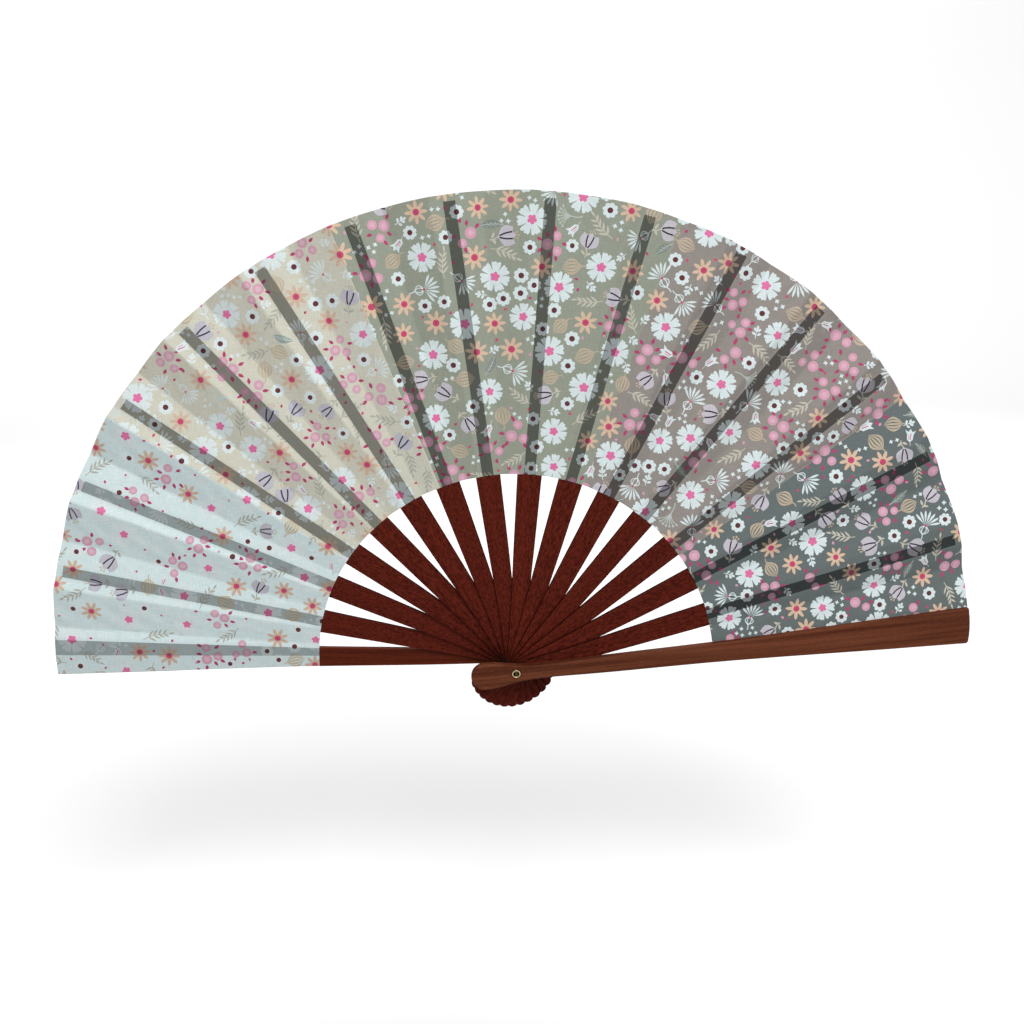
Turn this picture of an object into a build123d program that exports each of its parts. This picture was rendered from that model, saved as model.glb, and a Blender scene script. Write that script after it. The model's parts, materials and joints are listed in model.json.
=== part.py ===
"""Folding hand fan, fully open: sixteen wooden sticks on one hollow rivet, and a cloth leaf.

The fan lies in the XZ plane with its front towards -Y and its top towards +Z. The origin is on the
rivet's axis, half way through the stack. A stick's angle is measured from +X towards +Z. Stick 0 is
the rear guard, sticks 1 to 14 are the ribs and stick 15 is the front guard. Each stick has a layer of
its own, so that the fan can close. Lengths are in millimetres and angles in degrees.
"""
from build123d import *
from math import asin, atan, cos, degrees, radians, sin, tan
import os

os.makedirs("parts", exist_ok=True)

# The opening fan
STICK_COUNT = 16
OPEN_ANGLE = 173.5
LAST = STICK_COUNT - 1
PITCH = OPEN_ANGLE / LAST                # angle from one stick to the next
FIRST_ANGLE = 90 + OPEN_ANGLE / 2        # the rear guard, on the left

# The stack, through the thickness
RIB_THICKNESS = 1.1
LAYER = 1.2                              # from one rib's back to the next rib's back
GUARD_THICKNESS = 2.8
GUARD_GAP = 0.1                          # between a guard and the rib beside it
RIB_COUNT = STICK_COUNT - 2
STACK_BACK = (RIB_COUNT * LAYER - (LAYER - RIB_THICKNESS)) / 2    # back of the first rib
GUARD_INNER = STACK_BACK + GUARD_GAP
GUARD_OUTER = GUARD_INNER + GUARD_THICKNESS

# The leaf and what it is glued to
LEAF_INNER = 90.5
LEAF_OUTER = 209.2
LEAF_THICKNESS = 0.25
LEAF_BED = 0.75                          # from a rib's back to the glued side of the leaf
GUARD_RELIEF = 0.3                       # the step in a guard's inner face that takes the leaf
LEAF_SETBACK = 0.2                       # from the leaf's end to the guard's long edge

# A stick's long edge as stations: distance from the rivet, half width
GUARD_TAIL_END = -20.4
RIB_TAIL_END = -20.9
GUARD_EDGE = [(-14.8, 6.2), (0, 4.2), (27, 3.6), (90, 4.6), (159, 6.95), (208.7, 8.6)]
GUARD_TIP = 209.4
TIP_OUTER_FILLET = 1.5                   # on the corner away from the leaf
TIP_INNER_FILLET = 0.4
GUARD_FILLET = 0.7                       # round the outer face
BLADE_END = 90.3
RIB_EDGE = [(-18.1, 2.8), (0, 3.7), (20, 3.75), (44, 4.3), (BLADE_END, 5.4)]
RIB_CHAMFER = 0.15
SLIP_HALF_WIDTH = 2.5
SLIP_ROOT = BLADE_END - 1.0              # where the slip begins, inside the blade
SLIP_END = 206.5
SLIP_BACK = 0.3                          # from a rib's back to the slip's back

# The rivet, a hollow brass eyelet with a rolled rim at each end
EYE_BORE = 1.3
EYE_RADIUS = 1.6
EYE_CLEARANCE = 0.06
RIM_RADIUS = 2.05
RIM_SEAT = 10.6                          # from the middle of the stack to a rim's inner face
RIM_HEIGHT = 0.5
RIM_ROLL = 0.3                           # how far the bore's straight wall stops short of the rim's top
RECESS_RADIUS = 2.35
WASHER_RADIUS = 2.25
WASHER_THICKNESS = 0.25


def stick_angle(number):
    return FIRST_ANGLE - number * PITCH


def layer_back(number):
    """The Y of a rib's back face."""
    return STACK_BACK - (number - 1) * LAYER


def stick_plane(number, y):
    """A sketch plane facing the front: its X runs out along the stick, its Y is anticlockwise."""
    angle = radians(stick_angle(number))
    return Plane(origin=(0, y, 0), x_dir=(cos(angle), 0, sin(angle)), z_dir=(0, -1, 0))


def save(part, name):
    part.label = name
    export_step(part, f"parts/{name}.step")


def guard(number, outer_y, inner_y, outer_side):
    """A guard: a thick stick, rounded on its outer face, its inner face stepped for the leaf.

    outer_side is +1 where the edge away from the leaf is anticlockwise, and -1 where it isn't.
    """
    front, back = min(outer_y, inner_y), max(outer_y, inner_y)
    outward = 1 if outer_y > inner_y else -1
    tip_station, tip_half_width = GUARD_EDGE[-1]
    with BuildPart() as stick:
        with BuildSketch(stick_plane(number, back)):
            with BuildLine():
                edge = Spline(*GUARD_EDGE, tangents=[(1, 0), (1, 0.033)])
                mirror(edge, about=Plane.XZ)
                tail_station, tail_half_width = GUARD_EDGE[0]
                ThreePointArc((tail_station, tail_half_width), (GUARD_TAIL_END, 0), (tail_station, -tail_half_width))
                ThreePointArc((tip_station, tip_half_width), (GUARD_TIP, 0), (tip_station, -tip_half_width))
            make_face()
        extrude(amount=back - front)

        corners = stick.edges().filter_by(Axis.Y).group_by(lambda e: distance_out(e, number))[-1]
        ordered = corners.sort_by(lambda e: outer_side * across(e, number))
        fillet(ordered[-1], TIP_OUTER_FILLET)
        corners = stick.edges().filter_by(Axis.Y).group_by(lambda e: distance_out(e, number))[-1]
        fillet(corners.sort_by(lambda e: outer_side * across(e, number))[0], TIP_INNER_FILLET)

        outer_face = stick.faces().filter_by(Axis.Y).sort_by(Axis.Y)[-1 if outward > 0 else 0]
        fillet(outer_face.edges(), GUARD_FILLET)

        # The step for the leaf
        relief_back = inner_y + GUARD_RELIEF if outward > 0 else inner_y
        with BuildSketch(stick_plane(number, relief_back)):
            with Locations((BLADE_END + GUARD_TIP / 2, 0)):
                Rectangle(GUARD_TIP, 4 * tip_half_width)
        extrude(amount=GUARD_RELIEF, mode=Mode.SUBTRACT)

        # The hole for the eyelet, and the recess for its rim and washer
        with BuildSketch(Plane(origin=(0, back, 0), z_dir=(0, -1, 0))):
            Circle(EYE_RADIUS + EYE_CLEARANCE)
        extrude(amount=back - front, mode=Mode.SUBTRACT)
        seat = RIM_SEAT - WASHER_THICKNESS if outward > 0 else RIM_SEAT
        recess_back = outer_y if outward > 0 else -seat
        with BuildSketch(Plane(origin=(0, recess_back, 0), z_dir=(0, -1, 0))):
            Circle(RECESS_RADIUS)
        extrude(amount=GUARD_OUTER - seat, mode=Mode.SUBTRACT)
    return stick.part


def distance_out(edge, number):
    """How far an edge's middle is from the rivet, along the stick, to the nearest centimetre."""
    angle = radians(stick_angle(number))
    middle = edge.center()
    return round((middle.X * cos(angle) + middle.Z * sin(angle)) / 10)


def across(edge, number):
    """How far an edge's middle is from the stick's centre line, anticlockwise."""
    angle = radians(stick_angle(number))
    middle = edge.center()
    return middle.Z * cos(angle) - middle.X * sin(angle)


def rib(number):
    """A rib: a blade that shows, and a thin slip that runs on behind the leaf."""
    back = layer_back(number)
    tail_station, tail_half_width = RIB_EDGE[0]
    blade_half_width = RIB_EDGE[-1][1]
    with BuildPart() as stick:
        with BuildSketch(stick_plane(number, back)):
            with BuildLine():
                edge = Spline(*RIB_EDGE, tangents=[(1, 0), (1, 0.024)])
                mirror(edge, about=Plane.XZ)
                ThreePointArc((tail_station, tail_half_width), (RIB_TAIL_END, 0), (tail_station, -tail_half_width))
                Line((BLADE_END, blade_half_width), (BLADE_END, -blade_half_width))
            make_face()
        extrude(amount=RIB_THICKNESS)
        front_face = stick.faces().filter_by(Axis.Y).sort_by(Axis.Y)[0]
        chamfer(front_face.edges(), RIB_CHAMFER)

        with BuildSketch(stick_plane(number, back - SLIP_BACK)):
            with BuildLine():
                Polyline(
                    (SLIP_END - SLIP_HALF_WIDTH, SLIP_HALF_WIDTH),
                    (SLIP_ROOT, SLIP_HALF_WIDTH),
                    (SLIP_ROOT, -SLIP_HALF_WIDTH),
                    (SLIP_END - SLIP_HALF_WIDTH, -SLIP_HALF_WIDTH),
                )
                ThreePointArc(
                    (SLIP_END - SLIP_HALF_WIDTH, -SLIP_HALF_WIDTH),
                    (SLIP_END, 0),
                    (SLIP_END - SLIP_HALF_WIDTH, SLIP_HALF_WIDTH),
                )
            make_face()
        extrude(amount=LEAF_BED - SLIP_BACK)

        with BuildSketch(Plane(origin=(0, back, 0), z_dir=(0, -1, 0))):
            Circle(EYE_RADIUS + EYE_CLEARANCE)
        extrude(amount=RIB_THICKNESS, mode=Mode.SUBTRACT)
    return stick.part


def polar(distance, angle):
    return (distance * cos(radians(angle)), distance * sin(radians(angle)))


def leaf_panel(number):
    """The flat panel of the leaf that is glued to one stick, half a pitch to each side of it.

    The first and last panels stop just inside the long edge of the guard that they are glued to.
    """
    low_inner = low_outer = -PITCH / 2
    high_inner = high_outer = PITCH / 2
    guard_inner_angle = degrees(atan((GUARD_EDGE[3][1] - LEAF_SETBACK) / LEAF_INNER))
    guard_outer_angle = degrees(asin((GUARD_EDGE[-1][1] - LEAF_SETBACK) / LEAF_OUTER))
    back = layer_back(number) - LEAF_BED
    if number == 0:
        high_inner, high_outer = guard_inner_angle, guard_outer_angle
        back = GUARD_INNER + GUARD_RELIEF
    if number == LAST:
        low_inner, low_outer = -guard_inner_angle, -guard_outer_angle
        back = LEAF_THICKNESS - GUARD_INNER - GUARD_RELIEF
    middle = (low_outer + high_outer) / 2
    with BuildPart() as panel:
        with BuildSketch(stick_plane(number, back)):
            with BuildLine():
                Polyline(
                    polar(LEAF_OUTER, low_outer),
                    (LEAF_INNER, LEAF_INNER * tan(radians(low_inner))),
                    (LEAF_INNER, LEAF_INNER * tan(radians(high_inner))),
                    polar(LEAF_OUTER, high_outer),
                )
                ThreePointArc(
                    polar(LEAF_OUTER, high_outer),
                    polar(LEAF_OUTER, middle),
                    polar(LEAF_OUTER, low_outer),
                )
            make_face()
        extrude(amount=LEAF_THICKNESS)
    return panel.part


def eyelet():
    """The hollow rivet, turned about the Y axis: a thin tube with a rolled rim at each end."""
    rim_top = RIM_SEAT + RIM_HEIGHT
    rim_crest = (EYE_BORE + RIM_RADIUS) / 2
    wall_end = rim_top - RIM_ROLL
    with BuildPart() as tube:
        with BuildSketch(Plane.XY):
            with BuildLine():
                Line((EYE_BORE, -wall_end), (EYE_BORE, wall_end))
                for side in (1, -1):
                    ThreePointArc(
                        (EYE_BORE, side * wall_end),
                        (rim_crest, side * rim_top),
                        (RIM_RADIUS, side * wall_end),
                    )
                    Polyline(
                        (RIM_RADIUS, side * wall_end),
                        (RIM_RADIUS, side * RIM_SEAT),
                        (EYE_RADIUS, side * RIM_SEAT),
                    )
                Line((EYE_RADIUS, RIM_SEAT), (EYE_RADIUS, -RIM_SEAT))
            make_face()
        revolve(axis=Axis.Y)
    return tube.part


def washer():
    """The ring that spreads the load of the eyelet's rear rim."""
    with BuildPart() as ring:
        with BuildSketch(Plane(origin=(0, RIM_SEAT, 0), z_dir=(0, -1, 0))):
            Circle(WASHER_RADIUS)
            Circle(EYE_RADIUS + EYE_CLEARANCE, mode=Mode.SUBTRACT)
        extrude(amount=WASHER_THICKNESS)
    return ring.part


save(guard(0, GUARD_OUTER, GUARD_INNER, 1), "rear_guard")
save(guard(LAST, -GUARD_OUTER, -GUARD_INNER, -1), "front_guard")
for number in range(1, LAST):
    save(rib(number), f"rib_{number:02d}")
for number in range(STICK_COUNT):
    save(leaf_panel(number), f"leaf_{number:02d}")
save(eyelet(), "eyelet")
save(washer(), "rear_washer")
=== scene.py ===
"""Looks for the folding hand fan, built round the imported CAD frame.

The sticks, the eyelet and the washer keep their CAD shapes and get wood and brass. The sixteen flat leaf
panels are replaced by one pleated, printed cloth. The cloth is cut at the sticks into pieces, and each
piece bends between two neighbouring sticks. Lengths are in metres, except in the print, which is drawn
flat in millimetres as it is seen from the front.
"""

import json
import math
import random

import bpy
import numpy as np
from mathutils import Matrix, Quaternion, Vector
from mathutils.geometry import delaunay_2d_cdt

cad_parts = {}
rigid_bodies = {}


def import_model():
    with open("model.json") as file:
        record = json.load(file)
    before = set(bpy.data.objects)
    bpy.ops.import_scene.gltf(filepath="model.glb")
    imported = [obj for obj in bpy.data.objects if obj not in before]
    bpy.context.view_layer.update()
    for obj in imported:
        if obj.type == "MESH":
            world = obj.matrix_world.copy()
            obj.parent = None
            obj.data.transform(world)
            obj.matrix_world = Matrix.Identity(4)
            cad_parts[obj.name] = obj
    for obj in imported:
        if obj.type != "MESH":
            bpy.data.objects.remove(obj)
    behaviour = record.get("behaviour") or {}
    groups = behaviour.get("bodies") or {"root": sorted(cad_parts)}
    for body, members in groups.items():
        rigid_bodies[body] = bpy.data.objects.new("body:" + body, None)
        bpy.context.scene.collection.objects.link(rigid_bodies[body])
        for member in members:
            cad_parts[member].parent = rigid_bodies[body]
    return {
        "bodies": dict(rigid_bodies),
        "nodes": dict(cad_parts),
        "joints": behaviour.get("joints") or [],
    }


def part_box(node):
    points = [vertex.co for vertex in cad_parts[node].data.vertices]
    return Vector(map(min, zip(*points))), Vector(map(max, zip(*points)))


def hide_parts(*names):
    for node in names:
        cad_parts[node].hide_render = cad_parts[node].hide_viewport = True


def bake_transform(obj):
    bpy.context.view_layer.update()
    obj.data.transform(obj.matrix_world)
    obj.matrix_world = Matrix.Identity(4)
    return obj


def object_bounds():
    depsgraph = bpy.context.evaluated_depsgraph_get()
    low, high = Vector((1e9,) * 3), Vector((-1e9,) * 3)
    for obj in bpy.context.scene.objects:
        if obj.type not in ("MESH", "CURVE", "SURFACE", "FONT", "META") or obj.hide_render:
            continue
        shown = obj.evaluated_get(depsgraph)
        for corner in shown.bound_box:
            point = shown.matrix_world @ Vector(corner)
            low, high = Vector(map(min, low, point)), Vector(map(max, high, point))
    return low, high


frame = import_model()
cad_low, cad_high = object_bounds()

MM = 0.001

# ---------------------------------------------------------------------------------------------------------
# The sticks, read from the frame
# ---------------------------------------------------------------------------------------------------------

PITCH = math.radians(frame["joints"][-1]["range_deg"][1])
STICKS = len(frame["bodies"])
LAST = STICKS - 1
FIRST_ANGLE = math.pi / 2 + PITCH * LAST / 2
BODIES = ["rear_guard"] + [f"rib_{n:02d}" for n in range(1, LAST)] + ["front_guard"]
LEAVES = [f"leaf_{n:02d}" for n in range(STICKS)]


def stick_angle(number):
    return FIRST_ANGLE - number * PITCH


def radii(node):
    """The distances of a node's vertices from the rivet's axis."""
    return [math.hypot(v.co.x, v.co.z) for v in frame["nodes"][node].data.vertices]


# ---------------------------------------------------------------------------------------------------------
# The leaf's folds
# ---------------------------------------------------------------------------------------------------------

INNER_REACH = 0.15 * MM                 # by which the cloth passes the CAD panels' straight inner edges
LEAF_OUTER = max(radii("leaf_08"))
LEAF_INNER = min(radii("leaf_08")) * math.cos(PITCH / 2) - INNER_REACH
CLOTH = 0.25 * MM                       # thickness
GLUE_GAP = 0.02 * MM                    # between a slip and the cloth
MOUNTAIN = math.radians(2.2)            # the fold towards the viewer, anticlockwise of its stick
VALLEY = math.radians(3.9)              # the fold away from the viewer, clockwise of its stick
MOUNTAIN_HEIGHT = 2.5 * MM              # at the leaf's outer edge, in front of the glued strip
VALLEY_DEPTH = 3.0 * MM                 # at the outer edge, behind the glued strip
FOLD_STEP = 0.6 * MM                    # by which the folds near a guard grow from stick to stick
FIRST_HEIGHT = 0.9 * MM                 # of the mountain folds, counted from the rear guard
FIRST_DEPTH = 1.2 * MM                  # of the valley folds, counted from the rear guard
LAST_HEIGHT = -0.5 * MM                 # of the mountain folds, counted back from the front guard
FOLD_START = 0.080                      # the radius at which the folds would be flat
RIPPLE = 0.16 * MM                      # height of the waves in the free cloth between the glued strips
RIPPLE_CLEAR = 3.5 * MM                 # from a rib's centre line to where the waves begin
RIPPLE_FADE = 5 * MM                    # over which they reach their full height
GLUED_HALF = 3.2 * MM                   # half the width that lies flat on a slip
GLUED_ROOT = 3.7 * MM                   # the same at the leaf's inner edge, over the end of the blade
ROOT_LENGTH = 12 * MM                   # from the inner edge to where that strip has narrowed
CREASE = 0.7 * MM                       # half the width of a rounded crease
CREASE_STEP = CREASE / 1.5              # between the lines of points that round a crease
# Places across a rounded crease, in half widths, and the weight of the sharp crease's depth there
CREASE_WEIGHTS = ((-1, 0.17), (-0.5, 0.22), (0, 0.22), (0.5, 0.22), (1, 0.17))
GUARD_HALF_TIP = 8.4 * MM               # from a guard's centre line to the cloth's end, at the tip
GUARD_HALF_ROOT = 4.4 * MM              # the same at the inner edge
GUARD_MARGIN = 1.0 * MM                 # past a guard's edge, before the folds and the waves begin
GUARD_SHOWS_TIP = 7.5 * MM              # the width of the rear guard's painted shadow along its upper edge, at the tip
GUARD_SHOWS_ROOT = 3.8 * MM             # the same at the inner edge
SLIP_HALF = 2.5 * MM                    # half the width of a rib's slip, over which the cloth gets a painted shadow
SLIP_TIP = max(radii("rib_07"))
GRID = 3.2 * MM                         # between the cloth's own points
WELD = 1e-4                             # mm, within which two points of the flat plan become one
OVERRUN = 0.5 * MM                      # by which the lines of the plan pass the cloth's edges
FOLD_ALLOWANCE = 1.04                   # the flat cloth's width, as a multiple of its width when folded

# The y of the cloth's back on each stick
BED = np.array([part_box(name)[1].y for name in LEAVES]) - GLUE_GAP
BED[LAST] += 2 * GLUE_GAP               # the front guard is in front of its cloth, not behind it
# The folds are shallower beside the guards, so that the closed fan's cloth lies between the two
COUNT = np.arange(STICKS)
HEIGHTS = np.minimum(MOUNTAIN_HEIGHT, np.minimum(FIRST_HEIGHT + FOLD_STEP * COUNT,
                                                 np.maximum(0, LAST_HEIGHT + FOLD_STEP * (LAST - COUNT))))
DEPTHS = np.minimum(VALLEY_DEPTH, FIRST_DEPTH + FOLD_STEP * COUNT)


def guard_edge_angle(radius):
    """How far a guard's long edge is from its centre line, as an angle, where the cloth ends."""
    share = (radius - LEAF_INNER) / (LEAF_OUTER - LEAF_INNER)
    return (GUARD_HALF_ROOT + (GUARD_HALF_TIP - GUARD_HALF_ROOT) * share) / radius


def raw_back(angle, radius):
    """The y of the cloth's back before its creases are rounded."""
    number = np.clip(np.floor((FIRST_ANGLE + MOUNTAIN - angle) / PITCH), 0, LAST).astype(int)
    following = np.minimum(number + 1, LAST)
    across = (FIRST_ANGLE - number * PITCH - angle) * radius        # clockwise from the stick
    growth = (radius - FOLD_START) / (LEAF_OUTER - FOLD_START)
    height, depth = HEIGHTS[number] * growth, DEPTHS[number] * growth
    next_height = HEIGHTS[following] * growth
    flat = GLUED_HALF + (GLUED_ROOT - GLUED_HALF) * np.clip(1 - (radius - LEAF_INNER) / ROOT_LENGTH, 0, 1)
    # The rear guard is wider than a slip, and the cloth is flat as far as its edge
    flat = np.where(number == 0, guard_edge_angle(radius) * radius + GUARD_MARGIN, flat)
    mountain, valley = MOUNTAIN * radius, VALLEY * radius
    up = height * np.clip((-across - flat) / (mountain - flat), 0, 1)
    down = depth * np.clip((across - flat) / (valley - flat), 0, 1)
    rise = (BED[number] - BED[following]) + next_height + depth
    back_up = rise * np.clip((across - valley) / ((PITCH - MOUNTAIN - VALLEY) * radius), 0, 1)
    # The first and last sticks are guards: the cloth is flat on them
    up = np.where((number == 0) | (number == LAST), 0, up)
    down = np.where(number == LAST, 0, down)
    back_up = np.where(number == LAST, 0, back_up)
    return BED[number] - up + down - back_up


def ripple(angle, radius):
    """Small waves in the free cloth between the glued strips, zero on the slips and the guards."""
    place = (FIRST_ANGLE - angle) / PITCH
    number = np.floor(place + 0.5)
    off_strip = np.abs(place - number) * PITCH * radius
    over_guard = (number == 0) | (number == LAST)
    strip = np.where(over_guard, guard_edge_angle(radius) * radius + GUARD_MARGIN, RIPPLE_CLEAR)
    free = np.clip((off_strip - strip) / RIPPLE_FADE, 0, 1)
    growth = np.clip((radius - LEAF_INNER) / (LEAF_OUTER - LEAF_INNER), 0, 1)
    # A long and a short wave along the radius, out of step from one gap between sticks to the next
    wave = 0.6 * np.sin(radius * 260 + 9.7 * np.floor(place) + 5 * np.sin(place * 6.1))
    wave += 0.4 * np.sin(radius * 610 + 4.1 * np.floor(place) - place * 17)
    return RIPPLE * wave * free * (0.35 + 0.65 * growth)


def cloth_back(angle, radius):
    """The y of the cloth's back, with rounded creases and ripples."""
    total = 0
    for share, weight in CREASE_WEIGHTS:
        total = total + weight * raw_back(angle + share * CREASE / radius, radius)
    return total + ripple(angle, radius)


# ---------------------------------------------------------------------------------------------------------
# Colours of the print
# ---------------------------------------------------------------------------------------------------------

# Ground colour of each stretch of the cloth, with the fold at which it ends: (stick, "M" or "V" fold)
ZONES = [
    ("mint", (218, 235, 236), (3, "M")),
    ("cream", (213, 212, 196), (6, "M")),
    ("sage", (157, 163, 148), (9, "V")),
    ("taupe", (154, 147, 142), (12, "V")),
    ("slate", (108, 117, 117), (15, "V")),
]
# Painted shadow where a slip or the rear guard's upper edge lies behind the cloth: the share of the colour
# kept there
STICK_SHADOW_TINT = {"mint": 0.68, "cream": 0.60, "sage": 0.56, "taupe": 0.52, "slate": 0.46}
GUARD_SHADE_TINT = 0.93                       # painted shade, lighter, over the rest of the rear guard behind the cloth
INK_KEEPS = 0.25                        # of an ink's colour, kept whatever painted shadow lies over it
BACK_SHARE = 0.42                       # of the print that comes through to the back of the cloth
BACK_WHITE = np.array([206, 208, 204])  # the rest of the back
INKS = {
    "white": (226, 239, 240), "pink": (232, 122, 172), "rose": (206, 84, 118), "peach": (226, 196, 170),
    "brown": (104, 58, 60), "berry": (222, 166, 188), "core": (230, 184, 199), "magenta": (186, 72, 116),
    "lavender": (206, 201, 210), "ink": (46, 44, 56), "bulb": (200, 183, 160), "sprig": (206, 202, 186),
    "line": (194, 204, 196), "leaf": (134, 144, 138),
}
# On the pale grounds the white ink nearly vanishes and the soft inks are darker than the ground
PALE_INKS = {
    "white": (224, 235, 236), "peach": (214, 186, 164), "berry": (216, 168, 186), "core": (224, 186, 198),
    "lavender": (196, 194, 204), "bulb": (202, 188, 162), "sprig": (182, 183, 172), "line": (204, 216, 214),
    "leaf": (158, 173, 164), "ink": (60, 60, 76),
}
PALE_ZONES = ("mint", "cream")


def linear(colour):
    """An sRGB colour from 0 to 255, as linear light."""
    share = np.asarray(colour, float) / 255
    return np.where(share <= 0.04045, share / 12.92, ((share + 0.055) / 1.055) ** 2.4)


def fold_angle(number, kind):
    return stick_angle(number) + (MOUNTAIN if kind == "M" else -VALLEY)


def zone_of(angle):
    """The index of the ground colour at an angle."""
    for index, (_, _, (number, kind)) in enumerate(ZONES):
        if angle > fold_angle(number, kind):
            return index
    return len(ZONES) - 1


def print_colour(zone, ink=None, under=None):
    """The sRGB colour of an ink or of the bare ground in a zone, with no painted shade, or with the painted
    shade of a rib or a guard behind it.
    """
    name, ground, _ = ZONES[zone]
    if ink is None:
        colour = np.array(ground, float)
    elif name in PALE_ZONES and ink in PALE_INKS:
        colour = np.array(PALE_INKS[ink], float)
    else:
        colour = np.array(INKS[ink], float)
    # Painted shade, lighter, over the rest of the rear guard behind the cloth
    if under == "guard":
        colour = colour * GUARD_SHADE_TINT
    # Painted shadow of a slip, or of the rear guard's upper edge, behind the cloth; inks keep part of their
    # colour
    elif under == "band":
        tint = STICK_SHADOW_TINT[name]
        colour = colour * (tint if ink is None else INK_KEEPS + tint * (1 - INK_KEEPS))
    return colour


# ---------------------------------------------------------------------------------------------------------
# Motifs: each is a list of (ink, outline), drawn flat about its own middle in millimetres
# ---------------------------------------------------------------------------------------------------------

def ring(radius, count, shape=lambda a: 1.0 + 0 * a, turn=0.0):
    """A closed outline round the middle, its radius shaped by a function of the angle."""
    angle = np.linspace(0, 2 * math.pi, count, endpoint=False)
    reach = radius * shape(angle)
    return np.stack([reach * np.cos(angle + turn), reach * np.sin(angle + turn)], 1)


def moved(outline, x, y, turn=0.0, scale=1.0):
    turned = np.array([[math.cos(turn), math.sin(turn)], [-math.sin(turn), math.cos(turn)]])
    return outline @ turned * scale + np.array([x, y])


def blade(length, width, bulge=0.0, count=5, belly=0.45):
    """A pointed leaf from the middle up along y, which may bulge to one side."""
    along = np.linspace(0, 1, count + 2)[1:-1]
    half = width / 2 * np.sin(math.pi * along ** (math.log(0.5) / math.log(belly)))
    side = bulge * np.sin(math.pi * along)
    right = np.stack([side + half, along * length], 1)
    left = np.stack([side - half, along * length], 1)[::-1]
    return np.vstack([[0, 0], right, [0, length], left])


def stroke(points, width):
    """A thin line of even width through points."""
    points = np.asarray(points, float)
    along = np.gradient(points, axis=0)
    along /= np.linalg.norm(along, axis=1)[:, None]
    side = np.stack([-along[:, 1], along[:, 0]], 1) * width / 2
    return np.vstack([points + side, (points - side)[::-1]])


def bow(x0, y0, x1, y1, bulge, count=5):
    """Points on a gentle bow from one point to another."""
    share = np.linspace(0, 1, count)
    line = np.outer(1 - share, [x0, y0]) + np.outer(share, [x1, y1])
    normal = np.array([y0 - y1, x1 - x0])
    return line + np.outer(np.sin(math.pi * share) * bulge, normal)


def white_flower(rng):
    """A large open flower: seven ragged wedges of petals round a pink five-lobed heart."""
    def petals(a):
        across = (a * 7 / (2 * math.pi)) % 1
        gap = np.clip(np.minimum(across, 1 - across) / 0.13, 0, 1) ** 0.6
        notch = 0.12 * np.exp(-((across - 0.42) / 0.07) ** 2)
        notch += 0.07 * np.exp(-((across - 0.70) / 0.05) ** 2)
        return 0.42 + 0.60 * gap - notch
    outline = ring(6.0, 98, petals)
    heart = ring(2.0, 30, lambda a: 0.66 + 0.34 * np.abs(np.cos(2.5 * a)) ** 0.6)
    return [("white", outline), ("pink", heart)]


def daisy(rng):
    """A peach daisy with eight pointed petals and a rose middle."""
    outline = ring(4.9, 64, lambda a: 0.40 + 0.60 * np.abs(np.cos(4 * a)) ** 1.5)
    return [("peach", outline), ("rose", ring(1.4, 12)), ("magenta", ring(0.5, 6))]


def button_flower(rng):
    """A small round scalloped flower with a dark middle."""
    outline = ring(3.05, 48, lambda a: 0.80 + 0.20 * np.abs(np.cos(4 * a)) ** 0.7)
    return [("white", outline), ("brown", ring(1.15, 12))]


def berries(rng):
    """A loose cluster of round berries among small magenta leaves."""
    made = []
    for x, y, lean in ((1.4, 3.9, -0.4), (-2.0, 3.6, 0.6), (2.6, 1.2, -1.1), (-3.2, 0.2, 1.3),
                       (4.9, -1.6, -1.4), (-4.6, -2.0, 1.7), (0.4, -4.4, 2.9)):
        if rng.random() < 0.75:
            made.append(("magenta", moved(blade(2.7, 1.4), x, y, lean)))
    places = [(-0.3, 1.6, 2.35), (3.3, -2.4, 1.9), (-2.9, -2.6, 2.05)]
    for x, y, size in places[:rng.choice((2, 3, 3))]:
        made += [("berry", moved(ring(size, 20), x, y)), ("core", moved(ring(size * 0.5, 12), x, y))]
    return made


def tulip(rng):
    """A half-open cup of three petals with dark lines between them, on a short stalk."""
    base = (0, -3.6)
    made = [("sprig", stroke(bow(*base, 0.8, -7.0, 0.14), 0.5))]
    made += [("sprig", moved(blade(2.8, 1.1), 0.5, -6.0, lean)) for lean in (-1.0, 1.1)]
    for x, y in ((-1.0, 4.3), (0.2, 4.8), (1.2, 4.2)):
        made += [("bulb", stroke(bow(0, 0, x, y, 0.05, 3), 0.3)), ("bulb", moved(ring(0.45, 6), x, y))]
    made += [("lavender", moved(blade(7.4, 4.8, belly=0.55), *base, lean)) for lean in (-0.46, 0.46, 0)]
    return made + [("ink", stroke(bow(side * 0.35, -2.9, side * 1.35, 2.4, -0.05 * side), 0.6))
                   for side in (-1, 1)]


def bulb(rng):
    """A round seed head, pointed at both ends, drawn with five curved segments."""
    made = [("bulb", moved(blade(8.6, 0.95, bulge), 0, -4.0)) for bulge in (-2.9, -1.5, 0, 1.5, 2.9)]
    return made + [("bulb", stroke(bow(0, -3.8, -0.6, -5.8, 0.15), 0.45))]


def sprig(rng):
    """A curved stem with pairs of narrow leaves that point forward."""
    stem = bow(0, -6.2, 0.5, 4.6, 0.08, 6)
    made = [("sprig", stroke(stem, 0.36))]
    for step in range(1, 5):
        x, y = stem[step]
        for side in (-1, 1):
            made.append(("sprig", moved(blade(4.3 - 0.35 * step, 0.85), x, y, side * 0.68)))
    return made + [("sprig", moved(blade(2.8, 0.9), *stem[-1]))]


def half_fan(rng):
    """A flower seen from the side: a half-fan of thin white petals on a cup drawn in outline."""
    made = [("white", moved(blade(6.6, 1.0, belly=0.7), 0, -0.6, lean))
            for lean in np.linspace(-1.05, 1.05, 7)]
    for side in (-1, 1):
        made += [("white", stroke(bow(0, -0.6, 0, -4.6, side * reach, 6), 0.38)) for reach in (0.24, 0.5)]
    return made + [("white", stroke(bow(0, -4.6, 0.5, -7.0, 0.1, 4), 0.4)),
                   ("rose", ring(0.55, 7) + [0, -0.6])]


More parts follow.
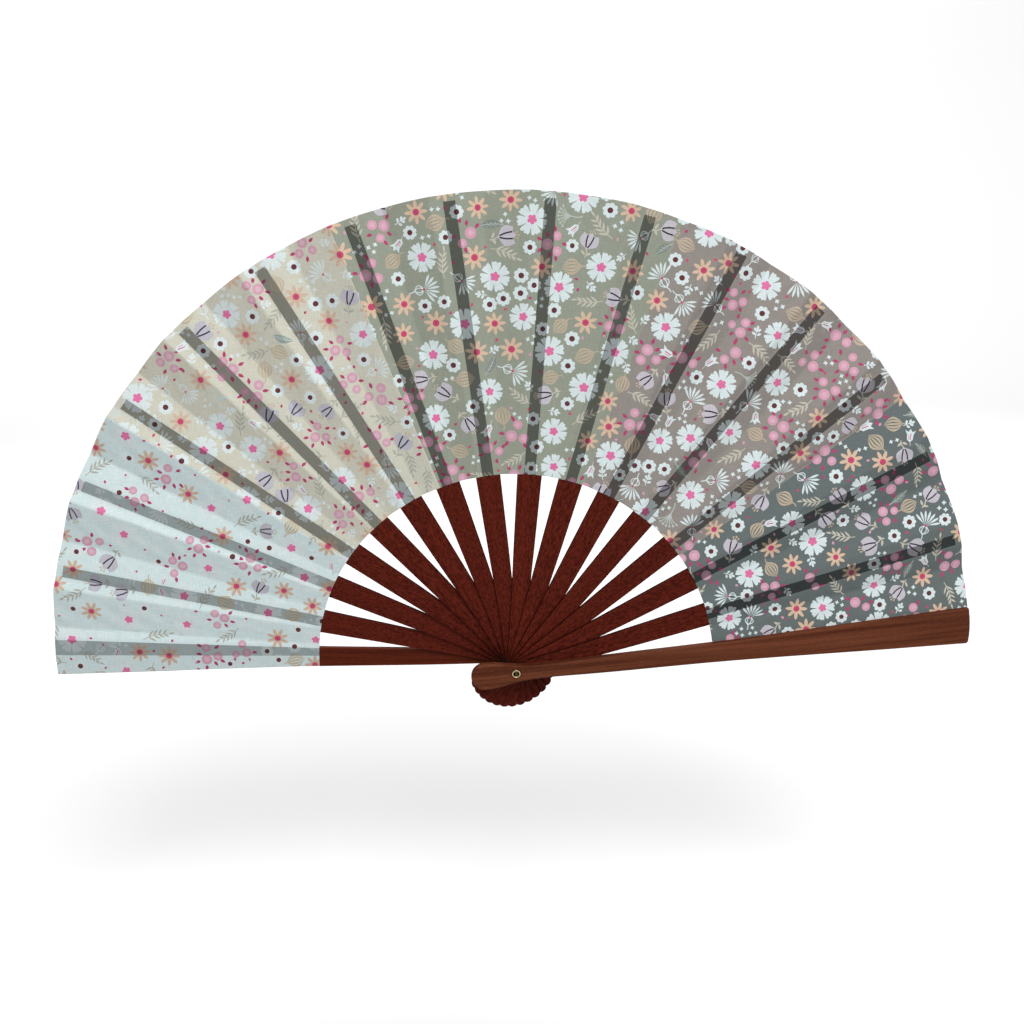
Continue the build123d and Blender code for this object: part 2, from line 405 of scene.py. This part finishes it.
def umbel(rng):
    """A line drawing of a seed head: a fan of fine stalks with a dot on each."""
    made = [("line", stroke(bow(0, -6.0, 0, -1.2, 0.08), 0.4))]
    for lean in np.linspace(-0.85, 0.85, 7):
        tip = (5.4 * math.sin(lean), -1.2 + 5.6 * math.cos(lean))
        made.append(("line", stroke(bow(0, -1.2, *tip, 0.18 * math.sin(lean), 5), 0.34)))
        made.append(("line", moved(ring(0.5, 7), *tip)))
    return made


def bell(rng):
    """A small white bell with three points and a rose streak."""
    cup = np.array([(0, -3.0), (1.3, -1.9), (1.5, 0.6), (2.5, 2.5), (0.9, 1.7), (0, 3.1), (-0.9, 1.7),
                    (-2.5, 2.5), (-1.5, 0.6), (-1.3, -1.9)])
    return [("sprig", stroke(bow(0, -2.8, 0.4, -4.6, 0.1, 4), 0.36)), ("white", cup),
            ("rose", stroke([(0.1, -2.0), (0.3, 0.9)], 0.38)),
            ("berry", stroke([(-0.6, -1.7), (-0.7, 0.5)], 0.34))]


def spray(rng):
    """Small round leaves on one short stalk."""
    made = [("white", stroke(bow(0, -2.6, 0, 0.8, 0.05, 4), 0.34))]
    for y, lean in ((-1.4, -1.0), (-1.4, 1.0), (0, -0.7), (0, 0.7), (0.6, 0)):
        made.append(("white", moved(blade(2.2, 1.1, belly=0.6), 0, y, lean)))
    return made


def leaf(rng):
    """One broad leaf with its ribs drawn in."""
    made = [("leaf", moved(blade(9.0, 3.4, 0.5), 0, -4.5))]
    made += [("line", stroke([(0.1, -4.5 + y), (0.35 + side * 1.0, -3.1 + y)], 0.2))
             for y in (1.6, 3.2, 4.8) for side in (-1, 1)]
    return made + [("line", stroke(bow(0, -5.4, 0, 4.0, -0.05), 0.3))]


def dot(rng):
    """A loose petal."""
    return [(rng.choice(("rose", "magenta", "berry")), moved(blade(1.7, 1.1), 0, -0.8))]


def sparks(rng):
    """Two or three four-pointed specks."""
    speck = ring(1.1, 8, lambda a: 0.52 + 0.48 * np.abs(np.cos(2 * a)))
    places = ((-1.4, -0.6), (1.3, -1.2), (0.5, 1.7))
    return [("white", moved(speck, x, y)) for x, y in places[:rng.choice((2, 3))]]


# Motif, how many at most, how far it may lean, and the circles (x, y, radius) in mm that it keeps to itself
MOTIFS = [
    (white_flower, 66, 3.1, [(0, 0, 6.2)]),
    (berries, 60, 3.1, [(0, 1.2, 4.0), (2.6, -2.4, 3.0), (-2.6, -2.6, 3.0)]),
    (daisy, 78, 3.1, [(0, 0, 4.9)]),
    (tulip, 46, 3.1, [(0, 0.8, 4.4), (0.6, -5.2, 2.0)]),
    (half_fan, 44, 3.1, [(0, 2.2, 4.6), (0, -3.4, 2.4)]),
    (bulb, 38, 3.1, [(0, 0, 3.8), (0, 3.2, 1.6)]),
    (sprig, 66, 3.1, [(0, -3.0, 2.7), (0, 0.6, 2.7), (0, 4.6, 2.4)]),
    (umbel, 34, 3.1, [(0, 2.0, 4.0), (0, -4.0, 1.4)]),
    (button_flower, 116, 3.1, [(0, 0, 3.1)]),
    (leaf, 20, 3.1, [(0, -1.6, 2.4), (0, 2.0, 2.2)]),
    (bell, 44, 3.1, [(0, 0, 2.8)]),
    (spray, 60, 3.1, [(0, 0, 2.3)]),
    (sparks, 130, 0.6, [(0, 0, 2.2)]),
    (dot, 150, 3.1, [(0, 0, 1.1)]),
]
SEED = 7
TRIES = 70                              # for each motif wanted
SCALES = (0.92, 1.06)                   # smallest and largest
SPILL_ANGLE = 0.06                      # radians by which motifs may lie past the leaf's two ends
SPILL = 3                               # mm by which they may lie past its inner and outer edges
CELL = 13.0                             # mm, of the grid in which a motif's neighbours are looked up
REACH_MARGIN = 1.3                      # the size of a motif with what sticks out of its circles


def scatter():
    """Places the motifs over the whole leaf without overlaps, the large ones first."""
    rng = random.Random(SEED)
    placed = []
    cells = {}
    inner, outer = LEAF_INNER / MM - SPILL, LEAF_OUTER / MM + SPILL
    low, high = stick_angle(LAST) - SPILL_ANGLE, FIRST_ANGLE + SPILL_ANGLE
    for motif, most, lean, circles in MOTIFS:
        reach = max(math.hypot(x, z) + r for x, z, r in circles)
        count = 0
        for _ in range(most * TRIES):
            if count == most:
                break
            radius = math.sqrt(rng.uniform(inner ** 2, outer ** 2))
            angle = rng.uniform(low, high)
            x, z = radius * math.cos(angle), radius * math.sin(angle)
            turn = rng.uniform(-lean, lean)
            scale = rng.uniform(*SCALES)
            own = [(*moved(np.array([[cx, cz]]), x, z, turn, scale)[0], r) for cx, cz, r in circles]
            column, row = int(x // CELL), int(z // CELL)
            near = [p for i in (-1, 0, 1) for j in (-1, 0, 1) for p in cells.get((column + i, row + j), ())]
            if any(math.hypot(a - p, b - q) < r + s for a, b, r in own for p, q, s in near):
                continue
            for a, b, r in own:
                cells.setdefault((int(a // CELL), int(b // CELL)), []).append((a, b, r))
            shapes = [(ink, moved(outline, x, z, turn, scale)) for ink, outline in motif(rng)]
            placed.append((x, z, REACH_MARGIN * reach, shapes))
            count += 1
    return placed


# ---------------------------------------------------------------------------------------------------------
# The cloth as meshes
# ---------------------------------------------------------------------------------------------------------

def flat_point(angle, radius):
    """A point of the flat print, in millimetres."""
    return (radius * math.cos(angle) / MM, radius * math.sin(angle) / MM)


def beside(number, offset, radius):
    """A point at a distance anticlockwise from a stick's centre line, in the flat print."""
    return flat_point(stick_angle(number) + math.asin(offset / radius), radius)


class Plan:
    """Points, lines and outlines of one piece of cloth, ready to be triangulated."""

    def __init__(self):
        self.points, self.edges, self.faces, self.tags = [], [], [], []

    def line(self, points):
        start = len(self.points)
        self.points += [tuple(p) for p in points]
        self.edges += [(start + i, start + i + 1) for i in range(len(points) - 1)]

    def outline(self, points, tag):
        """Adds a closed outline, turned anticlockwise, because its inside is on its left."""
        start = len(self.points)
        points = np.asarray(points, float)
        following = np.roll(points, -1, axis=0)
        if np.sum(points[:, 0] * following[:, 1] - points[:, 1] * following[:, 0]) < 0:
            points = points[::-1]
        self.points += [tuple(p) for p in points]
        self.faces.append(list(range(start, start + len(points))))
        self.tags.append(tag)

    def triangles(self):
        """Vertices, triangles, and for each triangle the tags of the outlines that hold it, last on top."""
        verts, _, faces, _, _, owners = delaunay_2d_cdt(
            [Vector(p) for p in self.points], self.edges, self.faces, 0, WELD, True)
        kept = [(f, [self.tags[i] for i in sorted(o)]) for f, o in zip(faces, owners) if 0 in o]
        return np.array([tuple(v) for v in verts]), [f for f, _ in kept], [t for _, t in kept]


def cloth_outline(number):
    """The edge of the cloth from one stick to the next, round the whole piece."""
    inner_high = outer_high = stick_angle(number)
    inner_low = outer_low = stick_angle(number + 1)
    if number == 0:
        inner_high += guard_edge_angle(LEAF_INNER)
        outer_high += guard_edge_angle(LEAF_OUTER)
    if number + 1 == LAST:
        inner_low -= guard_edge_angle(LEAF_INNER)
        outer_low -= guard_edge_angle(LEAF_OUTER)
    steps = 30
    shares = [i / steps for i in range(steps + 1)]
    outer = [flat_point(outer_low + (outer_high - outer_low) * share, LEAF_OUTER) for share in shares]
    inner = [flat_point(inner_high + (inner_low - inner_high) * share, LEAF_INNER) for share in shares]
    return outer + inner


def plan_piece(number, motifs):
    """The plan of the cloth between two sticks."""
    plan = Plan()
    plan.outline(cloth_outline(number), "cloth")
    root, tip = LEAF_INNER - OVERRUN, LEAF_OUTER + OVERRUN
    for stick in (number, number + 1):
        if 0 < stick < LAST:
            # A painted shadow over each rib's slip, where the slip lies behind the cloth
            plan.outline([beside(stick, side * SLIP_HALF, radius) for side, radius in
                          ((-1, root), (-1, SLIP_TIP), (1, SLIP_TIP), (1, root))], "band")
            for side in (-1, 1):
                plan.line([beside(stick, side * GLUED_ROOT, root),
                           beside(stick, side * GLUED_HALF, LEAF_INNER + ROOT_LENGTH),
                           beside(stick, side * GLUED_HALF, tip)])
        # Lines along each fold, close enough together to round its crease
        for turn in (MOUNTAIN, -VALLEY):
            for offset in (-2, -1, 0, 1, 2):
                plan.line([flat_point(stick_angle(stick) + turn + offset * CREASE_STEP / r, r) for r in
                           np.linspace(root, tip, 6)])
    if number == 0:
        # Painted shadow of the rear guard behind the cloth: darker along its upper edge, lighter over the
        # rest of it
        upper = [beside(0, -GUARD_HALF_ROOT, root), beside(0, -GUARD_HALF_TIP, tip)]
        middle = [beside(0, GUARD_SHOWS_TIP - GUARD_HALF_TIP, tip),
                  beside(0, GUARD_SHOWS_ROOT - GUARD_HALF_ROOT, root)]
        lower = [beside(0, 2 * GUARD_HALF_TIP, tip), beside(0, 2 * GUARD_HALF_ROOT, root)]
        plan.outline(upper + middle, "band")
        plan.outline(middle[::-1] + lower, "guard")
    # The grid and the motifs go on past the piece, and its outline cuts them off
    past = 0.04
    high, low = stick_angle(number) + past, stick_angle(number + 1) - past
    for row, radius in enumerate(np.arange(LEAF_INNER + GRID, LEAF_OUTER, GRID)):
        count = max(2, round((high - low) * radius / GRID))
        shift = 0.5 * (row % 2)
        plan.points += [flat_point(low + (high - low) * (i + shift) / count, radius) for i in range(count)]
    middle = (high + low) / 2
    for x, z, reach, shapes in motifs:
        angle, radius = math.atan2(z, x), math.hypot(x, z)
        if abs(angle - middle) < (high - low) / 2 + reach / radius:
            for ink, outline in shapes:
                plan.outline(outline, ink)
    return plan


def build_piece(number, motifs):
    """The cloth between two sticks: a front, a back and a rim round the edge, coloured corner by corner."""
    flat, triangles, tags = plan_piece(number, motifs).triangles()
    used = sorted({i for t in triangles for i in t})
    renumbered = {old: new for new, old in enumerate(used)}
    flat = flat[used]
    triangles = [[renumbered[i] for i in t] for t in triangles]

    angle = np.arctan2(flat[:, 1], flat[:, 0])
    radius = np.hypot(flat[:, 0], flat[:, 1]) * MM
    back_y = cloth_back(angle, radius)
    back = np.stack([flat[:, 0] * MM, back_y, flat[:, 1] * MM], 1)
    front = back - np.array([0, CLOTH, 0])
    count = len(flat)

    colours = []
    for triangle, owners in zip(triangles, tags):
        centre = flat[triangle].mean(0)
        inks = [o for o in owners if o in INKS]
        under = [o for o in owners if o in ("band", "guard")]
        zone = zone_of(math.atan2(centre[1], centre[0]))
        colours.append(print_colour(zone, inks[-1] if inks else None, under[0] if under else None))
    colours = np.array(colours)
    pale = BACK_SHARE * colours + (1 - BACK_SHARE) * BACK_WHITE

    # Seen from the front, a triangle turns anticlockwise in the flat plan, and so faces -Y in space
    faces = list(triangles)
    paints = [colours]
    faces += [[i + count for i in t[::-1]] for t in triangles]
    paints.append(pale)
    sides = {}
    for index, t in enumerate(triangles):
        for a, b in zip(t, t[1:] + t[:1]):
            if (b, a) in sides:
                del sides[(b, a)]
            else:
                sides[(a, b)] = index
    faces += [[b, a, a + count, b + count] for a, b in sides]
    paints.append(colours[list(sides.values())])
    paints = np.vstack(paints)

    mesh = bpy.data.meshes.new(f"leaf_cloth_{number:02d}")
    mesh.from_pydata(np.vstack([front, back]).tolist(), [], faces)
    attribute = mesh.color_attributes.new("Print", "FLOAT_COLOR", "CORNER")
    loops = np.repeat(linear(paints), [len(f) for f in faces], axis=0)
    attribute.data.foreach_set("color", np.hstack([loops, np.ones((len(loops), 1))]).ravel())
    place = mesh.attributes.new("Flat", "FLOAT_VECTOR", "POINT")
    place.data.foreach_set("vector", np.vstack([np.hstack([flat * MM, np.zeros((count, 1))])] * 2).ravel())
    mesh.polygons.foreach_set("use_smooth", [True] * len(faces))
    mesh.set_sharp_from_angle(angle=math.radians(50))
    mesh.validate()
    piece = bpy.data.objects.new(mesh.name, mesh)
    bpy.context.scene.collection.objects.link(piece)
    return piece


def flat_size(number):
    """The width at the outer edge and the area of one piece of the cloth, pulled out flat."""
    unfolded = PITCH * FOLD_ALLOWANCE
    width, area = unfolded * LEAF_OUTER, unfolded * (LEAF_OUTER ** 2 - LEAF_INNER ** 2) / 2
    if number == 0 or number + 1 == LAST:
        width += GUARD_HALF_TIP
        area += (GUARD_HALF_ROOT + GUARD_HALF_TIP) / 2 * (LEAF_OUTER - LEAF_INNER)
    return width, area


# ---------------------------------------------------------------------------------------------------------
# Materials
# ---------------------------------------------------------------------------------------------------------

class Nodes:
    """A short way to build a material's nodes."""

    def __init__(self, name):
        self.material = bpy.data.materials.new(name)
        self.material.use_nodes = True
        self.tree = self.material.node_tree
        self.shader = self.tree.nodes["Principled BSDF"]

    def add(self, kind, inputs=None, **settings):
        node = self.tree.nodes.new(kind)
        for key, value in settings.items():
            setattr(node, key, value)
        for key, value in (inputs or {}).items():
            if isinstance(value, bpy.types.NodeSocket):
                self.tree.links.new(value, node.inputs[key])
            else:
                node.inputs[key].default_value = value
        return node

    def to_shader(self, socket, name):
        self.tree.links.new(socket, self.shader.inputs[name])

    def set(self, **values):
        for key, value in values.items():
            self.shader.inputs[key.replace("_", " ")].default_value = value

    def ramp(self, source, stops):
        """A colour ramp with (position, sRGB colour) stops."""
        node = self.add("ShaderNodeValToRGB", {"Fac": source})
        elements = node.color_ramp.elements
        while len(elements) < len(stops):
            elements.new(0.5)
        for element, (position, colour) in zip(elements, stops):
            element.position = position
            element.color = (*linear(colour), 1)
        return node.outputs["Color"]

    def bump(self, height, distance, strength=1.0):
        node = self.add("ShaderNodeBump", {"Height": height, "Distance": distance, "Strength": strength})
        self.to_shader(node.outputs["Normal"], "Normal")


def cloth_material():
    """Matt printed cotton: the print's colours, with uneven threads both ways and a plain weave."""
    n = Nodes("printed_cotton")
    place = n.add("ShaderNodeAttribute", attribute_name="Flat").outputs["Vector"]
    colour = n.add("ShaderNodeVertexColor", layer_name="Print").outputs["Color"]
    threads = []
    for scale in ((220.0, 3200.0, 1.0), (3200.0, 220.0, 1.0)):
        along = n.add("ShaderNodeMapping", {"Vector": place, "Scale": scale}).outputs[0]
        slub = n.add("ShaderNodeTexNoise", {"Vector": along, "Scale": 1.0, "Detail": 2.0}).outputs["Fac"]
        threads.append(slub)
        shade = n.add("ShaderNodeMapRange", {"Value": slub, "From Min": 0.3, "From Max": 0.7,
                                             "To Min": 0.93, "To Max": 1.06}).outputs["Result"]
        mix = n.add("ShaderNodeMix", {"Factor": 1.0}, data_type="RGBA", blend_type="MULTIPLY")
        n.tree.links.new(colour, mix.inputs[6])
        n.tree.links.new(shade, mix.inputs[7])
        colour = mix.outputs[2]
    n.to_shader(colour, "Base Color")
    weave = n.add("ShaderNodeMath", {0: threads[0], 1: threads[1]}, operation="ADD")
    n.bump(weave.outputs[0], 0.00012, 0.5)
    n.set(Roughness=0.9, Sheen_Weight=0.1, Sheen_Roughness=0.5)
    n.shader.inputs["Specular IOR Level"].default_value = 0.2
    return n.material


def wood_material(name, number, dark, light, shine, pores_share, painted_edge_shade):
    """Oiled wood with fine straight grain along the stick."""
    n = Nodes(name)
    place = n.add("ShaderNodeTexCoord").outputs["Object"]
    along = n.add("ShaderNodeMapping", {"Vector": place, "Rotation": (0, stick_angle(number), 0)}).outputs[0]
    # Each stick is cut from another place in the wood
    place_in_wood = (0.37 * number, 0.11 * number, 0.053 * number)
    streaks = n.add("ShaderNodeMapping", {"Vector": along, "Location": place_in_wood,
                                          "Scale": (9.0, 300.0, 420.0)}).outputs[0]
    grain = n.add("ShaderNodeTexNoise", {"Vector": streaks, "Scale": 1.0, "Detail": 4.0, "Roughness": 0.62,
                                         "Distortion": 0.15}).outputs["Fac"]
    specks = n.add("ShaderNodeMapping", {"Vector": along, "Scale": (520.0, 1500.0, 1900.0)}).outputs[0]
    pores = n.add("ShaderNodeTexNoise", {"Vector": specks, "Scale": 1.0, "Detail": 2.0,
                                         "Roughness": 0.6}).outputs["Fac"]
    calm = n.add("ShaderNodeMath", {0: grain, 1: 1 - pores_share}, operation="MULTIPLY")
    total = n.add("ShaderNodeMath", {0: pores, 1: pores_share, 2: calm.outputs[0]}, operation="MULTIPLY_ADD")
    # The cut edges and their chamfers get painted shade, darker than the two faces
    normal = n.add("ShaderNodeSeparateXYZ", {0: n.add("ShaderNodeTexCoord").outputs["Normal"]})
    facing = n.add("ShaderNodeMath", {0: normal.outputs["Y"]}, operation="ABSOLUTE")
    shade = n.add("ShaderNodeMapRange", {"Value": facing.outputs[0], "From Min": 0.72, "From Max": 0.95,
                                         "To Min": painted_edge_shade, "To Max": 1.0}).outputs["Result"]
    mix = n.add("ShaderNodeMix", {"Factor": 1.0}, data_type="RGBA", blend_type="MULTIPLY")
    n.tree.links.new(n.ramp(total.outputs[0], [(0.38, dark), (0.62, light)]), mix.inputs[6])
    n.tree.links.new(shade, mix.inputs[7])
    n.to_shader(mix.outputs[2], "Base Color")
    n.bump(pores, 0.00005, 0.3)
    n.set(Roughness=shine)
    n.shader.inputs["Specular IOR Level"].default_value = 0.06
    return n.material


def brass_material():
    """Polished brass, a little tarnished."""
    n = Nodes("brass")
    place = n.add("ShaderNodeTexCoord").outputs["Object"]
    cloud = n.add("ShaderNodeTexNoise", {"Vector": place, "Scale": 1200.0, "Detail": 3.0}).outputs["Fac"]
    n.to_shader(n.ramp(cloud, [(0.3, (164, 146, 108)), (0.7, (212, 196, 156))]), "Base Color")
    rough = n.add("ShaderNodeMapRange", {"Value": cloud, "To Min": 0.18, "To Max": 0.42})
    n.to_shader(rough.outputs["Result"], "Roughness")
    n.set(Metallic=1.0)
    return n.material


def stage_material():
    n = Nodes("stage_white")
    n.set(Base_Color=(0.8, 0.8, 0.8, 1), Roughness=0.95, Emission_Color=(1, 1, 1, 1), Emission_Strength=0.12)
    return n.material


# Dark and light grain, roughness, the share of fine pores in the figure, and the painted shade on the cut
# edges
RIB_WOOD = ((61, 15, 8), (104, 37, 23), 0.62, 0.76, 0.22)
REAR_GUARD_WOOD = ((70, 24, 12), (102, 41, 22), 0.55, 0.25, 0.8)
FRONT_GUARD_WOOD = ((80, 39, 24), (118, 66, 44), 0.52, 0.25, 0.85)


def paint(node, material):
    """Gives a CAD node one material."""
    for slot in frame["nodes"][node].material_slots:
        slot.material = material


# ---------------------------------------------------------------------------------------------------------
# Camera, light and stage
# ---------------------------------------------------------------------------------------------------------

CAMERA_AZIMUTH = math.radians(-3.06)
CAMERA_ELEVATION = math.radians(15.5)
CAMERA_ROLL = math.radians(-1.8)
CAMERA_DISTANCE = 0.453
CAMERA_TARGET = Vector((0.0009, 0.0, 0.07295))
CAMERA_LENS = 35.97                     # mm, on a 36 mm sensor


def make_camera():
    data = bpy.data.cameras.new("camera")
    data.sensor_width = 36.0
    data.lens = CAMERA_LENS
    data.clip_start = 0.01
    camera = bpy.data.objects.new("camera", data)
    bpy.context.scene.collection.objects.link(camera)
    back = Vector((math.sin(CAMERA_AZIMUTH) * math.cos(CAMERA_ELEVATION),
                   -math.cos(CAMERA_AZIMUTH) * math.cos(CAMERA_ELEVATION), math.sin(CAMERA_ELEVATION)))
    camera.location = CAMERA_TARGET + back * CAMERA_DISTANCE
    camera.rotation_mode = "QUATERNION"
    aim = (-back).to_track_quat("-Z", "Y")
    camera.rotation_quaternion = aim @ Quaternion((0, 0, 1), CAMERA_ROLL)
    bpy.context.scene.camera = camera


def area_light(name, place, aim, size, watts):
    data = bpy.data.lights.new(name, "AREA")
    data.shape = "DISK"
    data.size = size
    data.energy = watts
    light = bpy.data.objects.new(name, data)
    light.location = place
    light.rotation_mode = "QUATERNION"
    light.rotation_quaternion = (Vector(aim) - Vector(place)).to_track_quat("-Z", "Y")
    bpy.context.scene.collection.objects.link(light)


def make_light():
    """Soft light from above for the fan, a weak fill from the left, and one lamp for the wall behind."""
    area_light("key", (0.30, -0.85, 1.35), (0, 0, 0.08), 0.9, 17)
    area_light("fill", (-0.9, -1.4, 0.4), (0, 0, 0.08), 1.2, 0.8)
    area_light("backdrop", (0, 0.8, 1.7), (0, 2.4, 0.2), 1.5, 34)
    world = bpy.data.worlds.new("studio")
    world.use_nodes = True
    world.node_tree.nodes["Background"].inputs["Color"].default_value = (1, 1, 1, 1)
    world.node_tree.nodes["Background"].inputs["Strength"].default_value = 0.46
    bpy.context.scene.world = world
    # White stays white, and the print keeps its own colours
    bpy.context.scene.view_settings.view_transform = "Standard"


def make_stage():
    """A pale floor under the fan, which curves up all round it."""
    depth = cad_low.z - 0.13            # about where the feet of a display stand would be
    floor, bend, wall, turns = 1.7, 0.8, 3.5, 48
    profile = [(0.0, 0.0), (floor, 0.0)]
    profile += [(floor + bend * math.sin(a), bend - bend * math.cos(a))
                for a in np.linspace(0.13, math.pi / 2, 12)]
    profile += [(floor + bend, wall)]
    steps = np.linspace(0, 2 * math.pi, turns, endpoint=False)
    verts = [(0, 0, depth)]
    verts += [(r * math.cos(a), r * math.sin(a), depth + z) for r, z in profile[1:] for a in steps]
    faces = [(0, 1 + i, 1 + (i + 1) % turns) for i in range(turns)]
    for row in range(len(profile) - 2):
        a, b = 1 + row * turns, 1 + (row + 1) * turns
        faces += [(a + i, b + i, b + (i + 1) % turns, a + (i + 1) % turns) for i in range(turns)]
    mesh = bpy.data.meshes.new("stage")
    mesh.from_pydata(verts, [], faces)
    mesh.polygons.foreach_set("use_smooth", [True] * len(faces))
    mesh.materials.append(stage_material())
    stage = bpy.data.objects.new("stage", mesh)
    bpy.context.scene.collection.objects.link(stage)
    # Its white bounce would light the pleats from below and hide their shading
    stage.visible_diffuse = False


# ---------------------------------------------------------------------------------------------------------
# Making the scene
# ---------------------------------------------------------------------------------------------------------

make_camera()
make_light()
make_stage()

for number, body in enumerate(BODIES):
    wood = {0: REAR_GUARD_WOOD, LAST: FRONT_GUARD_WOOD}.get(number, RIB_WOOD)
    paint(body, wood_material(f"wood_{body}", number, *wood))
brass = brass_material()
paint("eyelet", brass)
paint("rear_washer", brass)

cotton = cloth_material()
motifs = scatter()
for number in range(LAST):
    piece = build_piece(number, motifs)
    piece.data.materials.append(cotton)
    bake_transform(piece)
    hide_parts(LEAVES[number], *(LEAVES[LAST:] if number + 1 == LAST else []))
    width, area = flat_size(number)
